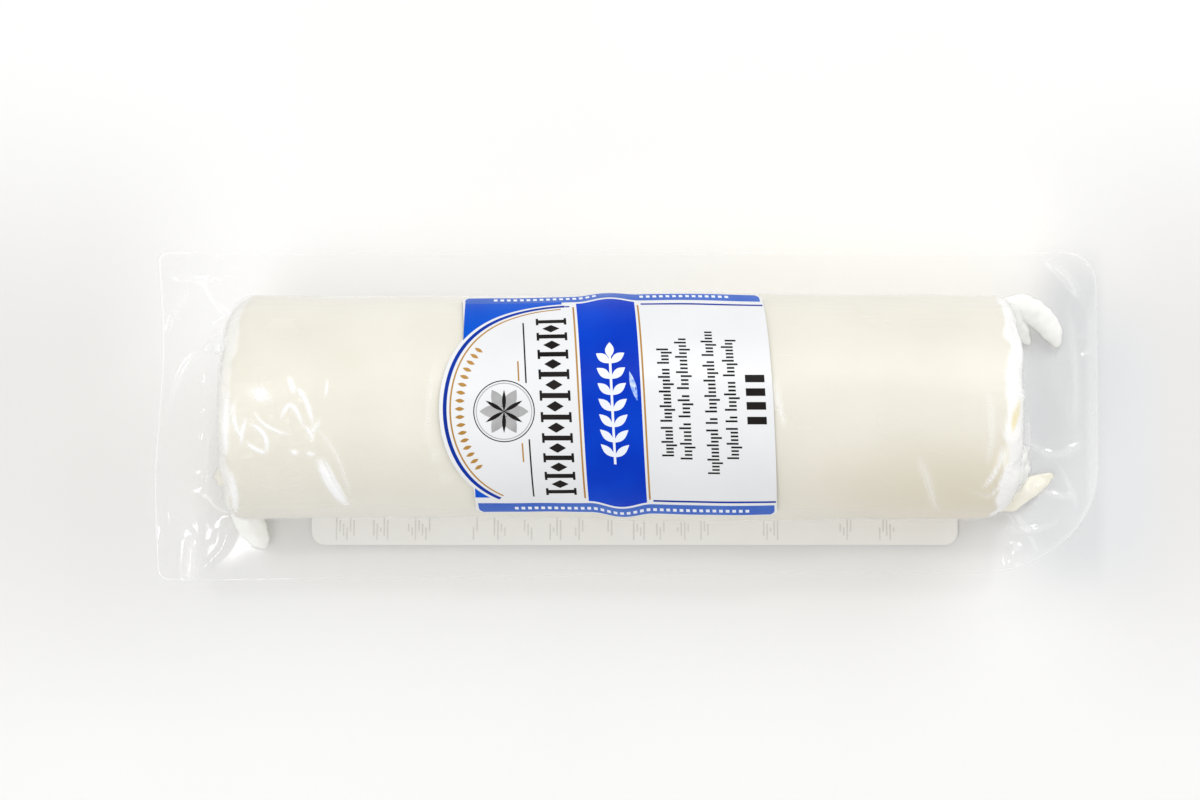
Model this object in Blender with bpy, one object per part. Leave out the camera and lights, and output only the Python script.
"""A vacuum-packed log of soft white cheese, lying on the flat back of its pack.

The clear pack is one closed solid: the round log, the film border round it, the film skirt that
climbs to the log, and the folds of film with cheese squeezed into them at both ends. A thin front
label is wrapped over the log, and a paper back label lies under the pack.

Metres, +Z up. The origin is the middle of the pack's plan, on the surface it lies on. +X runs
along the log and -Y is the near side.
"""

import math

import bmesh
import bpy
import numpy as np

MM = 0.001

# Driving dimensions of the log
LOG_LENGTH = 165.9 * MM
LOG_DIAMETER = 47.0 * MM
LOG_HEIGHT = 45.0 * MM
LOG_MIDDLE_X = -1.4 * MM
LOG_MIDDLE_Y = 0.4 * MM
END_BULGE = 1.2 * MM

# How far each end's edge is rounded, and the direction in the section where film tension has
# cut it back further: the far top of the left end and the near side of the right end
RIM_ROUNDING = 3.6 * MM
RIM_CUT_BACK = 3.4 * MM
LEFT_CUT_ANGLE = math.radians(20)
RIGHT_CUT_ANGLE = math.radians(200)

# The log's slow waves: height, waves per metre along it, waves round it, and a shift
LUMPS = (
    (0.28 * MM, 9.4, 0, 0.6),
    (0.16 * MM, 19.2, 2, 0.0),
    (0.20 * MM, 5.5, 2, 0.0),
    (0.12 * MM, 0.0, 5, 1.3),
)
# The crumples round each end: height, waves round it, and a shift
CRUMPLES = ((0.5 * MM, 9, 1.0), (0.3 * MM, 14, 2.0))

# Driving dimensions of the film border
PACK_LENGTH = 203.2 * MM
PACK_WIDTH = 71.0 * MM
FILM_THICKNESS = 0.5 * MM
CORNER_RADII = {
    "right_far": 7.0 * MM,
    "left_far": 2.0 * MM,
    "left_near": 2.5 * MM,
    "right_near": 25.0 * MM,
}

# How high the border's edges stand off the surface, and how far from the middle that starts
SIDE_CURL, SIDE_CURL_FROM = 2.2 * MM, 13 * MM
RIGHT_CURL, LEFT_CURL, END_CURL_FROM = 2.6 * MM, 1.0 * MM, 84 * MM
SIDE_WAVE, SIDE_WAVE_LENGTH = 0.3 * MM, 82 * MM
END_WAVE, END_WAVE_LENGTH = 0.3 * MM, 50 * MM

# The film skirt: how high and how far out it stands at the log's sides and at its ends
SIDE_SKIRT = (6.0 * MM, 5.0 * MM)
END_SKIRT = (13.0 * MM, 9.5 * MM)

# Where the skirt starts and where the hidden foot ends, as shares of the log's radius, and how
# far the foot stays in from the log's ends, with its corners' radius
SKIRT_FROM, FOOT_REACH = 0.66, 0.57
FOOT_INSET, FOOT_CORNER = 5.0 * MM, 3.0 * MM

# Driving dimensions of the labels
LABEL_THICKNESS = 0.3 * MM
GAP = 0.3 * MM
BACK_LABEL_LENGTH = 139.2 * MM
BACK_LABEL_WIDTH = 54.0 * MM
BACK_LABEL_MIDDLE_X = 1.9 * MM
BACK_LABEL_MIDDLE_Y = -0.7 * MM
BACK_LABEL_CORNER = 3.0 * MM
FRONT_LABEL_LENGTH = 61.6 * MM
FRONT_LABEL_ARC = 57.0 * MM
FRONT_LABEL_MIDDLE_X = -1.6 * MM
FRONT_LABEL_LEAN = math.radians(3.2)
FRONT_LABEL_POINT, FRONT_LABEL_POINT_REACH = 2.2 * MM, 18 * MM
BADGE_RADIUS = 26.0 * MM
BADGE_MIDDLE_X, BADGE_MIDDLE_ARC = -12.0 * MM, 2.0 * MM

# Heights that follow from the layers
PACK_UNDERSIDE = LABEL_THICKNESS + GAP
LOG_RADIUS = LOG_DIAMETER / 2
LOG_AXIS_Z = PACK_UNDERSIDE + LOG_HEIGHT - LOG_RADIUS
LOG_FLAT_Z = PACK_UNDERSIDE + FILM_THICKNESS / 3

# The squeezed folds, in millimetres and degrees: where each leaves the log, its heading
# anticlockwise from +X and how far that turns, its length, width and height, and its root's lift
FOLDS = {
    "hook": dict(root=(78.5, 24.2), heading=12, turn=-92, size=(20.0, 4.4, 5.0), lift=9.0),
    "pointed": dict(root=(79.0, 22.0), heading=-48, turn=-22, size=(11.0, 4.0, 7.0), lift=13.0),
    "crumple": dict(root=(78.0, -9.0), heading=-14, turn=-8, size=(10.0, 12.0, 14.0), lift=9.0),
    "flap": dict(root=(77.5, -19.5), heading=-2, turn=62, size=(19.0, 6.4, 4.0), lift=6.0),
    "tail": dict(root=(-82.5, -15.0), heading=-106, turn=84, size=(18.5, 4.6, 4.4), lift=6.0),
    "wedge": dict(root=(-79.0, 18.0), heading=186, turn=12, size=(14.5, 9.5, 3.6), lift=7.0),
    "squeeze": dict(root=(-79.0, -12.5), heading=178, turn=6, size=(12.0, 7.5, 10.0), lift=5.0),
}
# How late a fold narrows towards its tip, and how much of its height stands above the border
FOLD_TAPER, FOLD_STAND = 2.4, 0.6

# How finely the shapes are cut
LOG_SIDES = 44
LOG_STATIONS = 26
RIM_STEPS = 5
END_RINGS = 2
BORDER_STEPS = 84
BORDER_RINGS = (0.0, 0.08, 0.16, 0.26, 0.4, 0.6, 0.8, 1.0)
UNDERSIDE_FROM = 0.26
FOLD_STATIONS = 8
FOLD_SIDES = 10
FRONT_ROWS, FRONT_COLUMNS = 23, 12
BACK_ROWS, BACK_COLUMNS = 19, 8


def make_material(name, colour, roughness):
    """A plain shader with the piece's own colour."""
    material = bpy.data.materials.new(name)
    material.use_nodes = True
    shader = material.node_tree.nodes["Principled BSDF"]
    shader.inputs["Base Color"].default_value = (*colour, 1.0)
    shader.inputs["Roughness"].default_value = roughness
    shader.inputs["Metallic"].default_value = 0.0
    return material


def make_object(name, points, faces, material):
    """A smooth-shaded object whose sharp edges stay sharp, with its faces turned outwards."""
    mesh = bpy.data.meshes.new(name)
    mesh.from_pydata(points.tolist(), [], faces)
    shell = bmesh.new()
    shell.from_mesh(mesh)
    bmesh.ops.recalc_face_normals(shell, faces=shell.faces)
    shell.to_mesh(mesh)
    shell.free()
    mesh.shade_smooth()
    mesh.set_sharp_from_angle(angle=math.radians(45))
    mesh.materials.append(material)
    piece = bpy.data.objects.new(name, mesh)
    bpy.context.scene.collection.objects.link(piece)
    return piece


def capped_tube(name, rings, first_pole, last_pole, material):
    """A closed body from rings of points, shut at each end by a fan to a pole."""
    count, sides = rings.shape[:2]
    first, last = count * sides, count * sides + 1
    faces = []
    for side in range(sides):
        beside = (side + 1) % sides
        for start in range(0, (count - 1) * sides, sides):
            following = start + sides
            faces.append((start + side, start + beside, following + beside, following + side))
        end = (count - 1) * sides
        faces.append((first, beside, side))
        faces.append((last, end + side, end + beside))
    points = np.vstack([rings.reshape(-1, 3), first_pole, last_pole])
    return make_object(name, points, faces, material)


def sheet_between(name, inner, outer, material):
    """A closed thin sheet from two grids of points, walled in along its four edges."""
    rows, columns = inner.shape[:2]
    index = np.arange(rows * columns).reshape(rows, columns)
    over = index + rows * columns
    cells = np.stack([index[:-1, :-1], index[:-1, 1:], index[1:, 1:], index[1:, :-1]], axis=-1)
    cells = cells.reshape(-1, 4)
    faces = cells.tolist() + (cells[:, ::-1] + rows * columns).tolist()
    for grid_rim, over_rim in zip(rim_edges(index), rim_edges(over)):
        faces.append((*grid_rim, *over_rim[::-1]))
    points = np.vstack([inner.reshape(-1, 3), outer.reshape(-1, 3)])
    return make_object(name, points, faces, material)


def rim_edges(index):
    """The pairs of neighbours along the four edges of a grid of indices, all the way round."""
    rim = [*index[0, :-1], *index[:-1, -1], *index[-1, :0:-1], *index[:0:-1, 0]]
    rim = [int(value) for value in rim]
    return list(zip(rim, rim[1:] + rim[:1]))


def soft_lumps(x, angle):
    """The log's slight unevenness: a sum of slow waves along it and round it."""
    return sum(
        height * np.sin(2 * math.pi * along * x + around * angle + shift)
        for height, along, around, shift in LUMPS
    )


def log_section(x, angle, reach=1.0, lift=0.0):
    """A point of the log's round section: angle 0 is the far side and 90 degrees the top.

    reach shrinks the section towards the axis at the ends, and lift moves it outwards. The
    underside is flat, where the log rests on the pack's back.
    """
    radius = (LOG_RADIUS + soft_lumps(x, angle)) * reach + lift
    y = LOG_MIDDLE_Y + radius * np.cos(angle)
    z = LOG_AXIS_Z + radius * np.sin(angle)
    return np.stack([np.broadcast_to(x, np.shape(y)), y, np.maximum(z, LOG_FLAT_Z)], axis=-1)


def rim_rounding(angle, side):
    """How far the end's rounding reaches in each direction of the section."""
    cut_angle = LEFT_CUT_ANGLE if side < 0 else RIGHT_CUT_ANGLE
    cut_back = RIM_CUT_BACK * np.clip(np.cos(angle - cut_angle), 0, 1) ** 2
    crumple = sum(
        height * np.sin(waves * angle + side * shift) for height, waves, shift in CRUMPLES
    )
    return RIM_ROUNDING + cut_back + crumple


def end_rings(angle, side):
    """The rings of one end, from its middle out over the face and round the edge."""
    tip = LOG_MIDDLE_X + side * LOG_LENGTH / 2
    rounding = rim_rounding(angle, side)
    rings = []
    for step in range(1, END_RINGS + 1):
        share = step / (END_RINGS + 1)
        reach = (1 - rounding / LOG_RADIUS) * share
        rings.append(log_section(tip - side * END_BULGE * share**2, angle, reach))
    for step in range(RIM_STEPS):
        turn = math.pi / 2 * step / RIM_STEPS
        reach = 1 - rounding * (1 - math.sin(turn)) / LOG_RADIUS
        inset = END_BULGE + rounding * (1 - math.cos(turn))
        rings.append(log_section(tip - side * inset, angle, reach))
    return rings


def make_log(material):
    """The log: a round section carried from one rounded, crumpled end to the other."""
    angle = np.linspace(0, 2 * math.pi, LOG_SIDES, endpoint=False)
    half = LOG_LENGTH / 2 - END_BULGE
    left_x = LOG_MIDDLE_X - half + rim_rounding(angle, -1)
    right_x = LOG_MIDDLE_X + half - rim_rounding(angle, 1)
    shares = np.linspace(0, 1, LOG_STATIONS)
    straight = [log_section(left_x + (right_x - left_x) * share, angle) for share in shares]
    rings = np.array(end_rings(angle, -1) + straight + end_rings(angle, 1)[::-1])
    poles = [(LOG_MIDDLE_X + end * LOG_LENGTH / 2, LOG_MIDDLE_Y, LOG_AXIS_Z) for end in (-1, 1)]
    return capped_tube("log", rings, *poles, material)


def rounded_outline(half_length, half_width, radii, count, arc_steps=12):
    """Points spaced evenly round a rectangle with a radius of its own at each corner,
    anticlockwise from the far right corner."""
    corners = (
        (1, 1, radii["right_far"], 0),
        (-1, 1, radii["left_far"], 90),
        (-1, -1, radii["left_near"], 180),
        (1, -1, radii["right_near"], 270),
    )
    dense = []
    for x_side, y_side, radius, start in corners:
        turn = np.radians(start + np.linspace(0, 90, arc_steps + 1))
        x = x_side * (half_length - radius) + radius * np.cos(turn)
        y = y_side * (half_width - radius) + radius * np.sin(turn)
        dense.append(np.stack([x, y], axis=-1))
    dense = np.vstack(dense + [dense[0][:1]])
    walked = np.concatenate([[0], np.cumsum(np.hypot(*np.diff(dense, axis=0).T))])
    even = np.linspace(0, walked[-1], count, endpoint=False)
    return np.stack([np.interp(even, walked, dense[:, axis]) for axis in (0, 1)], axis=-1)


def border_curl(x, y):
    """How far the free film stands off the surface: it rises slowly towards its edges, most
    along the right-hand end, and waves a little along them."""
    half_length, half_width = PACK_LENGTH / 2, PACK_WIDTH / 2
    side = np.clip((np.abs(y) - SIDE_CURL_FROM) / (half_width - SIDE_CURL_FROM), 0, 1) ** 2
    right = np.clip((x - END_CURL_FROM) / (half_length - END_CURL_FROM), 0, 1) ** 2
    left = np.clip((-x - END_CURL_FROM) / (half_length - END_CURL_FROM), 0, 1) ** 2
    wave = SIDE_WAVE * np.sin(2 * math.pi * x / SIDE_WAVE_LENGTH) * side
    wave = wave + END_WAVE * np.sin(2 * math.pi * y / END_WAVE_LENGTH) * (left + right)
    return SIDE_CURL * side + RIGHT_CURL * right + LEFT_CURL * left + wave


def film_skirt(x, y):
    """The film's climb from the border to the log: highest against the log, then falling off
    as a hollow curve. It climbs higher and reaches further at the two ends."""
    past_end = np.maximum(np.abs(x - LOG_MIDDLE_X) - (LOG_LENGTH / 2 - 2 * END_BULGE), 0)
    past_side = np.maximum(np.abs(y - LOG_MIDDLE_Y) - LOG_RADIUS * SKIRT_FROM, 0)
    away = np.hypot(past_end, past_side)
    end_share = past_end / np.maximum(away, 1e-9)
    height, reach = (
        side + (end - side) * end_share for side, end in zip(SIDE_SKIRT, END_SKIRT)
    )
    return height * np.clip(1 - away / reach, 0, 1) ** 2


def make_border(material):
    """The film border and the skirt, as one closed sheet that also spans the log's flat
    underside, where the log is joined to it."""
    outer = rounded_outline(PACK_LENGTH / 2, PACK_WIDTH / 2, CORNER_RADII, BORDER_STEPS)
    foot_corners = dict.fromkeys(CORNER_RADII, FOOT_CORNER)
    foot_half_length, foot_half_width = LOG_LENGTH / 2 - FOOT_INSET, LOG_RADIUS * FOOT_REACH
    inner = rounded_outline(foot_half_length, foot_half_width, foot_corners, BORDER_STEPS)
    inner += (LOG_MIDDLE_X, LOG_MIDDLE_Y)
    over, under = [], []
    for share in BORDER_RINGS:
        x, y = (inner + (outer - inner) * share).T
        base = PACK_UNDERSIDE + border_curl(x, y)
        over.append(np.stack([x, y, base + FILM_THICKNESS + film_skirt(x, y)], axis=-1))
        if share == 0 or share >= UNDERSIDE_FROM:
            under.append(np.stack([x, y, base], axis=-1))
    rings = np.array(over + under[::-1])
    poles = [(LOG_MIDDLE_X, LOG_MIDDLE_Y, rings[end, :, 2].mean()) for end in (0, -1)]
    return capped_tube("border", rings, *poles, material)


def make_fold(name, root, heading, turn, size, lift, material):
    """A fold of film with cheese in it: an oval blade swept along an arc, from inside the log
    out to a tip that comes down onto the border."""
    length, width, height = (value * MM for value in size)
    share = np.linspace(0, 1, FOLD_STATIONS + 1)
    course = np.radians(heading + turn * share)
    step = length / FOLD_STATIONS
    x = root[0] * MM + np.concatenate([[0], np.cumsum(np.cos(course[:-1]) * step)])
    y = root[1] * MM + np.concatenate([[0], np.cumsum(np.sin(course[:-1]) * step)])
    taper = np.sqrt(1 - share**FOLD_TAPER)
    tall = height / 2 * taper
    floor = PACK_UNDERSIDE + FILM_THICKNESS + border_curl(x, y)
    z = floor + FOLD_STAND * tall + lift * MM * (1 - share) ** 2
    around = np.linspace(0, 2 * math.pi, FOLD_SIDES, endpoint=False)
    across = np.outer(width / 2 * taper, np.cos(around))
    up = np.outer(tall, np.sin(around))
    buried = floor[:, None] - FILM_THICKNESS / 2
    rings = np.stack(
        [
            x[:, None] - np.sin(course)[:, None] * across,
            y[:, None] + np.cos(course)[:, None] * across,
            np.maximum(z[:, None] + up, buried),
        ],
        axis=-1,
    )
    back = (x[0] - math.cos(course[0]) * step / 2, y[0] - math.sin(course[0]) * step / 2, z[0])
    return capped_tube(name, rings[:-1], back, (x[-1], y[-1], z[-1]), material)


def fuse(name, body, additions):
    """The body with the other pieces fused on by one Boolean union, and the helpers removed."""
    helpers = bpy.data.collections.new("helpers")
    for piece in additions:
        helpers.objects.link(piece)
    union = body.modifiers.new("union", "BOOLEAN")
    union.operation = "UNION"
    union.operand_type = "COLLECTION"
    union.collection = helpers
    union.solver = "MANIFOLD"
    evaluated = body.evaluated_get(bpy.context.evaluated_depsgraph_get())
    mesh = bpy.data.meshes.new_from_object(evaluated)
    body.modifiers.remove(union)
    body.data = mesh
    body.name = name
    mesh.name = name
    for piece in additions:
        bpy.data.objects.remove(piece)
    bpy.data.collections.remove(helpers)
    mesh.shade_smooth()
    mesh.set_sharp_from_angle(angle=math.radians(45))
    return body


def make_clear_pack():
    """The whole sealed pack: log, border, skirt and end folds in one solid."""
    material = make_material("clear_pack", (0.90, 0.87, 0.79), 0.25)
    additions = [make_border(material)]
    for name, values in FOLDS.items():
        additions.append(make_fold(name, **values, material=material))
    return fuse("clear_pack", make_log(material), additions)


def front_label_edges(down):
    """The front label's left and right edges at each place down the wrap, from its far edge
    to its near edge. Both lean, and the round badge bulges out of the left one."""
    middle = FRONT_LABEL_MIDDLE_X + math.tan(FRONT_LABEL_LEAN) * down
    chord = np.clip(BADGE_RADIUS**2 - (down - BADGE_MIDDLE_ARC) ** 2, 0, None)
    badge = BADGE_MIDDLE_X - np.sqrt(chord)
    return np.minimum(middle - FRONT_LABEL_LENGTH / 2, badge), middle + FRONT_LABEL_LENGTH / 2


def make_front_label():
    """A thin sheet wrapped over the log, its far and near edges drawn out to a low point."""
    half_arc = FRONT_LABEL_ARC / 2
    down = np.linspace(-half_arc, half_arc, FRONT_ROWS)[:, None]
    left, right = front_label_edges(down)
    x = left + (right - left) * np.linspace(0, 1, FRONT_COLUMNS)
    beside = np.abs(x - FRONT_LABEL_MIDDLE_X) / FRONT_LABEL_POINT_REACH
    point = FRONT_LABEL_POINT * np.clip(1 - beside, 0, 1)
    angle = math.pi / 2 + (down + point * down / half_arc) / LOG_RADIUS
    inner = log_section(x, angle, lift=GAP)
    outer = log_section(x, angle, lift=GAP + LABEL_THICKNESS)
    material = make_material("front_label", (0.86, 0.87, 0.90), 0.3)
    return sheet_between("front_label", inner, outer, material)


def make_back_label():
    """The paper label under the pack, with rounded corners: flat under the log, and curling
    up with the film along its far and near margins."""
    half_length, half_width = BACK_LABEL_LENGTH / 2, BACK_LABEL_WIDTH / 2
    across = half_width * np.sin(np.linspace(-math.pi / 2, math.pi / 2, BACK_ROWS))[:, None]
    into_corner = np.clip(np.abs(across) - (half_width - BACK_LABEL_CORNER), 0, None)
    cut = BACK_LABEL_CORNER - np.sqrt(BACK_LABEL_CORNER**2 - into_corner**2)
    x = BACK_LABEL_MIDDLE_X + (half_length - cut) * np.linspace(-1, 1, BACK_COLUMNS)
    y = np.broadcast_to(BACK_LABEL_MIDDLE_Y + across, x.shape)
    under = np.stack([x, y, border_curl(x, y)], axis=-1)
    over = under + (0, 0, LABEL_THICKNESS)
    material = make_material("back_label", (0.82, 0.81, 0.80), 0.55)
    return sheet_between("back_label", under, over, material)


for old in list(bpy.data.objects):
    bpy.data.objects.remove(old)

make_clear_pack()
make_front_label()
make_back_label()
